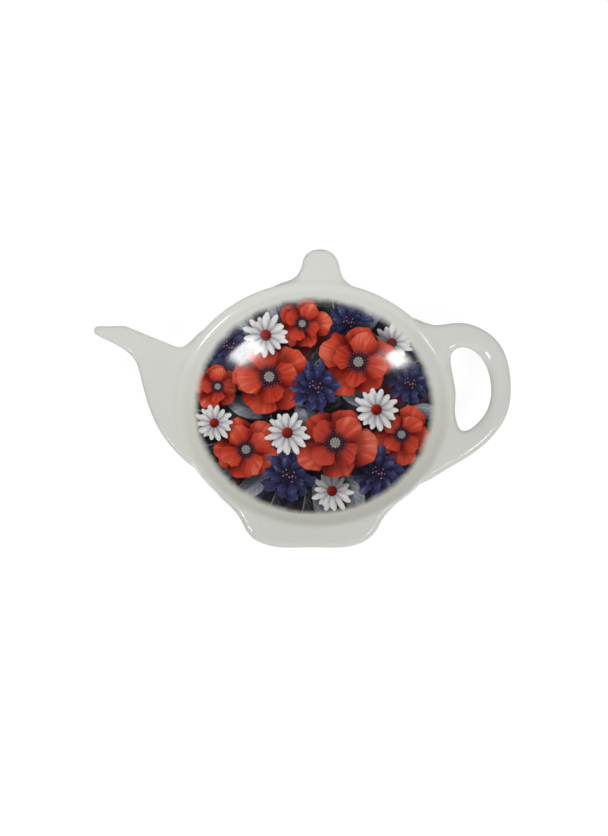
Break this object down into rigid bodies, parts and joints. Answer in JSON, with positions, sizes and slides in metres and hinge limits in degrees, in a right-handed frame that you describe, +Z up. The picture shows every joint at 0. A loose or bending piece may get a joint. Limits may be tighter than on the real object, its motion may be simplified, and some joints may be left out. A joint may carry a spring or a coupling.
{
  "type": "tea bag rest",
  "caption": "Shallow porcelain saucer in the outline of a teapot, with a printed oval well for a wet tea bag, a looped handle and an unglazed foot.",
  "frame": {"origin": "centre of the oval foot ring, on the table", "axes": "+X from the spout to the handle, +Y from the base to the knob, +Z up out of the well"},
  "size_m": [0.1251, 0.0897, 0.016],
  "materials": {
    "glazed_porcelain": "gloss",
    "printed_glaze": "gloss",
    "bare_porcelain": "matt"
  },
  "bodies": {
    "root": {"dish": "glazed_porcelain", "spout": "glazed_porcelain", "handle": "glazed_porcelain", "lid_knob": "glazed_porcelain", "pot_base": "glazed_porcelain", "transfer_print": "printed_glaze", "foot_ring": "bare_porcelain"}
  },
  "joints": []
}
